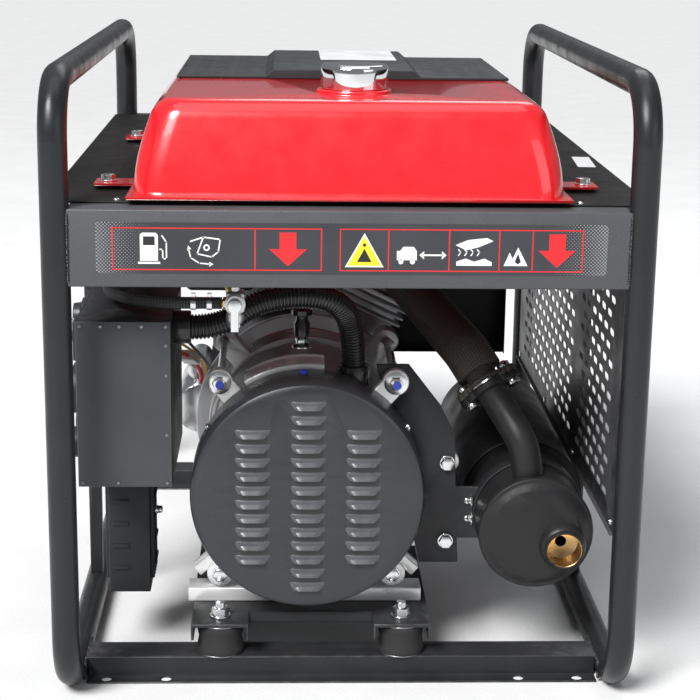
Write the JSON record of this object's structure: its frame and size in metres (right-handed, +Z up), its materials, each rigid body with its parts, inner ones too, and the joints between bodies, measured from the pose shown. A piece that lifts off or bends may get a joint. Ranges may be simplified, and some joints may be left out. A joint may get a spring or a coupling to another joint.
{
  "type": "engine driven welder",
  "caption": "Petrol engine driven welder in an open tubular frame, with fuel tank on top, louvred alternator cover, muffler and control box.",
  "frame": {"origin": "middle of the base, on the floor plane", "axes": "+X to the right seen from the alternator end, +Y towards the recoil starter end, +Z up"},
  "size_m": [0.59, 0.818, 0.64],
  "materials": {
    "frame_black": "satin black paint",
    "beam_grey": "textured dark grey paint",
    "sheet_black": "matt black paint on sheet",
    "cover_black": "satin black paint on pressed steel",
    "tank_red": "glossy red paint",
    "bright_chrome": "polished chrome",
    "zinc_steel": "zinc plated",
    "cast_alloy": "as cast alloy",
    "lamination": "stacked steel sheets",
    "winding": "lacquered copper wire",
    "steel_dark": "machined steel",
    "engine_iron": "cast iron",
    "exhaust_black": "heat resistant matt black",
    "wrapped_pipe": "steel pipe in woven heat wrap",
    "moulded_black": "moulded black plastic",
    "mount_rubber": "black rubber",
    "hose_rubber": "black fuel hose"
  },
  "bodies": {
    "frame": {"left_hoop": "frame_black", "right_hoop": "frame_black", "upper_beams": "beam_grey", "lower_rails": "frame_black", "side_posts": "frame_black", "guard_panel": "sheet_black", "top_tray": "sheet_black", "tank_upper_shell": "tank_red", "tank_lower_shell": "tank_red", "tank_bolts": "zinc_steel", "tank_bushes": "mount_rubber", "tank_rear_cover": "moulded_black", "filler_neck": "zinc_steel", "fuel_tap_body": "cast_alloy", "fuel_hose": "hose_rubber", "engine_cradle": "sheet_black", "rubber_mounts": "mount_rubber", "mount_studs": "zinc_steel", "alternator_end_cover": "cover_black", "rear_bell": "cast_alloy", "stator_core": "lamination", "stator_windings": "winding", "front_bracket": "cast_alloy", "tie_bolts": "zinc_steel", "bearings": "steel_dark", "crankcase": "cast_alloy", "cylinder_head": "cast_alloy", "rocker_cover": "cast_alloy", "spark_plug": "zinc_steel", "starter_motor": "zinc_steel", "fan_shroud": "sheet_black", "recoil_cover": "sheet_black", "carburettor": "cast_alloy", "air_cleaner": "moulded_black", "exhaust_pipe": "wrapped_pipe", "muffler_pipe": "exhaust_black", "muffler": "exhaust_black", "heat_shield": "exhaust_black", "muffler_bracket": "sheet_black", "exhaust_bolts": "zinc_steel", "control_box": "sheet_black", "box_lid": "sheet_black", "control_panel": "sheet_black", "weld_terminals": "moulded_black", "rectifier_housing": "moulded_black", "conduit": "moulded_black", "conduit_glands": "moulded_black"},
    "rotating_set": {"rotor": "steel_dark", "cooling_fan": "cast_alloy", "crankshaft": "steel_dark", "flywheel": "engine_iron"},
    "cap": {"fuel_cap": "bright_chrome"},
    "tap_lever": {"fuel_tap_lever": "zinc_steel"},
    "choke": {"choke_lever": "moulded_black"},
    "dipstick": {"oil_dipstick": "moulded_black"},
    "pull_grip": {"recoil_handle": "moulded_black"},
    "pull_pulley": {"recoil_pulley": "moulded_black"},
    "knob": {"current_knob": "moulded_black"},
    "key": {"ignition_key": "zinc_steel"},
    "breaker": {"breaker_lever": "moulded_black"}
  },
  "joints": [
    {"name": "engine_spin", "type": "hinge", "parent": "frame", "child": "rotating_set", "pos_m": [-0.038, 0, 0.198], "axis": [0, 1, 0], "continuous": true},
    {"name": "cap_lift", "type": "slide", "parent": "frame", "child": "cap", "axis": [0, 0, 1], "range_m": [0, 0.08]},
    {"name": "fuel_tap_turn", "type": "hinge", "parent": "frame", "child": "tap_lever", "pos_m": [-0.112, -0.347, 0.403], "axis": [0, 1, 0], "range_deg": [0, 90]},
    {"name": "choke_turn", "type": "hinge", "parent": "frame", "child": "choke", "pos_m": [-0.07, 0.0287, 0.4], "axis": [0, 1, 0], "range_deg": [0, 60]},
    {"name": "dipstick_pull", "type": "slide", "parent": "frame", "child": "dipstick", "axis": [-1, 0, 0], "range_m": [0, 0.09]},
    {"name": "recoil_pull", "type": "slide", "parent": "frame", "child": "pull_grip", "axis": [0, 1, 0], "range_m": [0, 0.6], "stiffness_N_per_m": 12},
    {"name": "recoil_pulley_spin", "type": "hinge", "parent": "frame", "child": "pull_pulley", "pos_m": [-0.038, 0.26, 0.198], "axis": [0, 1, 0], "range_deg": [0, 935]},
    {"name": "current_turn", "type": "hinge", "parent": "frame", "child": "knob", "pos_m": [-0.2705, -0.2005, 0.358], "axis": [-1, 0, 0], "range_deg": [0, 270]},
    {"name": "key_turn", "type": "hinge", "parent": "frame", "child": "key", "pos_m": [-0.2705, -0.2505, 0.358], "axis": [-1, 0, 0], "range_deg": [0, 80]},
    {"name": "breaker_throw", "type": "hinge", "parent": "frame", "child": "breaker", "pos_m": [-0.2725, -0.3005, 0.358], "axis": [0, 1, 0], "range_deg": [-36, 0]}
  ],
  "couplings": [
    {"joint": "recoil_pulley_spin", "follows": "recoil_pull", "rad_per_m": 27.027}
  ]
}
